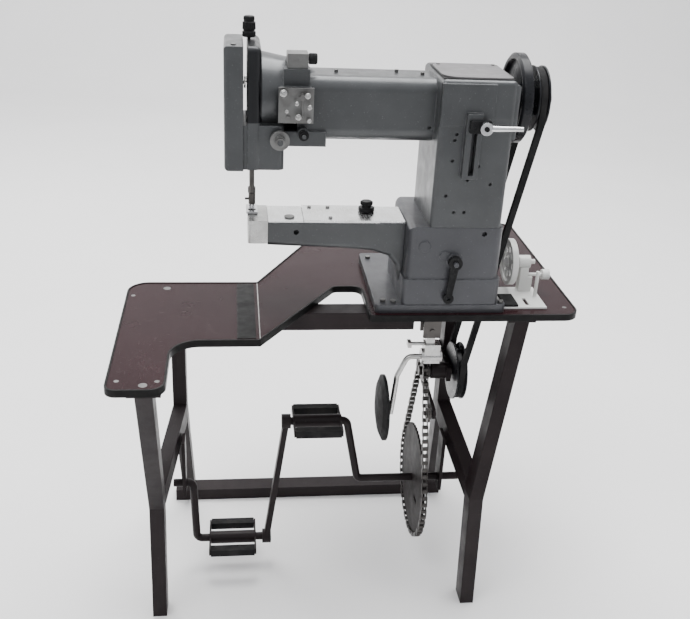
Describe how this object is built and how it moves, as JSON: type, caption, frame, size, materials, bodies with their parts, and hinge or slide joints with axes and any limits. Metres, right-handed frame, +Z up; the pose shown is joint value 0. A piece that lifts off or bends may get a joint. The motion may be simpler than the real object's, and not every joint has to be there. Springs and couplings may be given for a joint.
{
  "type": "cylinder arm sewing machine",
  "caption": "Cylinder-arm sewing machine on a low stand, worked by bicycle-style pedals through a chain and belt, with a knee lifter, bobbin winder and cut-out table.",
  "frame": {"origin": "on the floor, at the middle of the table's width and depth", "axes": "+X along the sewing arm from the needle towards the handwheel, +Y away from the operator, +Z up"},
  "size_m": [0.733, 0.655, 0.993],
  "materials": {
    "laminate": "glossy laminate",
    "trim": "satin",
    "frame_paint": "semi-gloss",
    "tread": "matte",
    "sprocket": "worn",
    "chain": "oiled",
    "belt": "matte",
    "pulley": "gloss",
    "enamel": "satin enamel",
    "bright": "polished",
    "black_parts": "gloss",
    "lever_steel": "polished",
    "winder_paint": "satin"
  },
  "bodies": {
    "stand_and_head": {"table_main": "laminate", "table_shelf": "laminate", "edge_trim": "trim", "front_leg_left": "frame_paint", "front_leg_right": "frame_paint", "rear_leg_left": "frame_paint", "rear_leg_right": "frame_paint", "side_braces": "frame_paint", "upper_beam": "frame_paint", "rear_crossbar": "frame_paint", "crank_hangers": "frame_paint", "drive_brackets": "frame_paint", "drive_chain": "chain", "drive_belt": "belt", "arm_casting": "enamel", "base_casting": "enamel", "cylinder_arm": "enamel", "bed_plate": "enamel", "face_cover": "enamel", "top_cover": "enamel", "knee_bracket": "bright", "arm_tip_cap": "bright", "needle_plate": "bright", "arm_top_plates": "bright", "tension_plate": "bright", "top_block": "black_parts", "fasteners": "lever_steel", "winder_frame": "winder_paint"},
    "crank": {"crank_rods": "frame_paint", "crank_arm": "frame_paint", "chainring": "sprocket"},
    "pedal_left": {"pedal_left_cage": "frame_paint", "pedal_left_treads": "tread"},
    "pedal_right": {"pedal_right_cage": "frame_paint", "pedal_right_treads": "tread"},
    "jackshaft": {"countershaft": "chain", "small_sprocket": "sprocket", "lower_pulley": "pulley"},
    "idler": {"idler_sprocket": "sprocket"},
    "wheel": {"handwheel": "pulley", "main_shaft": "bright"},
    "hook_shaft": {"hook": "bright"},
    "needle_slide": {"needle_bar": "bright", "needle": "bright"},
    "take_up": {"take_up_lever": "bright"},
    "knee_lifter": {"knee_arm": "bright", "knee_rod": "bright", "knee_pad": "tread"},
    "presser": {"presser_bar": "bright", "presser_foot": "bright"},
    "feed": {"feed_dog": "bright"},
    "plate_knob": {"arm_knob": "black_parts"},
    "foot_pressure": {"pressure_knob": "black_parts"},
    "guide_knob": {"block_knob": "black_parts"},
    "thread_disc": {"tension_disc": "bright"},
    "thread_knob": {"tension_knob": "black_parts"},
    "stitch_block": {"stitch_slider": "black_parts"},
    "stitch_handle": {"stitch_lever": "lever_steel"},
    "lower_lever": {"base_lever": "black_parts"},
    "winder": {"winder_wheel": "winder_paint"}
  },
  "joints": [
    {"name": "crank_turn", "type": "hinge", "parent": "stand_and_head", "child": "crank", "pos_m": [-0.1195, -0.0145, 0.18], "axis": [1, 0, 0], "continuous": true},
    {"name": "pedal_left_spin", "type": "hinge", "parent": "crank", "child": "pedal_left", "pos_m": [-0.1945, -0.0145, 0.054], "axis": [1, 0, 0], "continuous": true},
    {"name": "pedal_right_spin", "type": "hinge", "parent": "crank", "child": "pedal_right", "pos_m": [-0.0485, -0.0145, 0.306], "axis": [1, 0, 0], "continuous": true},
    {"name": "jackshaft_spin", "type": "hinge", "parent": "stand_and_head", "child": "jackshaft", "pos_m": [0.1665, -0.0145, 0.405], "axis": [1, 0, 0], "continuous": true},
    {"name": "idler_spin", "type": "hinge", "parent": "stand_and_head", "child": "idler", "pos_m": [0.1345, -0.08069, 0.35836], "axis": [1, 0, 0], "continuous": true},
    {"name": "wheel_spin", "type": "hinge", "parent": "stand_and_head", "child": "wheel", "pos_m": [0.2395, -0.0145, 0.885], "axis": [1, 0, 0], "continuous": true},
    {"name": "hook_spin", "type": "hinge", "parent": "stand_and_head", "child": "hook_shaft", "pos_m": [-0.0635, -0.0175, 0.674], "axis": [1, 0, 0], "continuous": true},
    {"name": "needle_stroke", "type": "slide", "parent": "stand_and_head", "child": "needle_slide", "axis": [0, 0, 1], "range_m": [-0.008, 0.03]},
    {"name": "take_up_swing", "type": "hinge", "parent": "stand_and_head", "child": "take_up", "pos_m": [-0.1765, 0.0055, 0.895], "axis": [1, 0, 0], "range_deg": [-15, 20]},
    {"name": "knee_swing", "type": "hinge", "parent": "stand_and_head", "child": "knee_lifter", "pos_m": [0.1245, -0.0805, 0.523], "axis": [0, -1, 0], "range_deg": [0, 12]},
    {"name": "presser_lift", "type": "slide", "parent": "stand_and_head", "child": "presser", "axis": [0, 0, 1], "range_m": [0, 0.008]},
    {"name": "feed_stroke", "type": "slide", "parent": "stand_and_head", "child": "feed", "axis": [0, 1, 0], "range_m": [-0.002, 0.002]},
    {"name": "plate_knob_turn", "type": "hinge", "parent": "stand_and_head", "child": "plate_knob", "pos_m": [0.0175, -0.0095, 0.7], "axis": [0, 0, 1], "range_deg": [-180, 180]},
    {"name": "pressure_knob_turn", "type": "hinge", "parent": "stand_and_head", "child": "foot_pressure", "pos_m": [-0.1705, -0.0045, 0.97], "axis": [0, 0, 1], "range_deg": [-180, 180]},
    {"name": "guide_knob_turn", "type": "hinge", "parent": "stand_and_head", "child": "guide_knob", "pos_m": [-0.0835, -0.0445, 0.941], "axis": [1, 0, 0], "range_deg": [-180, 180]},
    {"name": "thread_disc_turn", "type": "hinge", "parent": "stand_and_head", "child": "thread_disc", "pos_m": [-0.1265, -0.0845, 0.829], "axis": [0, 1, 0], "continuous": true},
    {"name": "thread_knob_turn", "type": "hinge", "parent": "stand_and_head", "child": "thread_knob", "pos_m": [-0.0925, -0.0925, 0.839], "axis": [0, 1, 0], "range_deg": [-180, 180]},
    {"name": "stitch_slide", "type": "slide", "parent": "stand_and_head", "child": "stitch_block", "axis": [0, 0, 1], "range_m": [-0.07, 0]},
    {"name": "stitch_tilt", "type": "hinge", "parent": "stitch_block", "child": "stitch_handle", "pos_m": [0.1705, -0.1125, 0.861], "axis": [0, 1, 0], "range_deg": [-15, 35]},
    {"name": "lower_lever_swing", "type": "hinge", "parent": "stand_and_head", "child": "lower_lever", "pos_m": [0.1495, -0.1045, 0.644], "axis": [0, 1, 0], "range_deg": [-35, 35]},
    {"name": "winder_spin", "type": "hinge", "parent": "stand_and_head", "child": "winder", "pos_m": [0.2675, -0.0045, 0.608], "axis": [1, 0, 0], "continuous": true}
  ],
  "couplings": [
    {"joint": "jackshaft_spin", "follows": "crank_turn", "ratio": 4.3333},
    {"joint": "wheel_spin", "follows": "crank_turn", "ratio": 4.3333},
    {"joint": "hook_spin", "follows": "crank_turn", "ratio": 8.6667},
    {"joint": "idler_spin", "follows": "crank_turn", "ratio": -5.2},
    {"joint": "presser_lift", "follows": "knee_swing", "m_per_rad": 0.038}
  ]
}
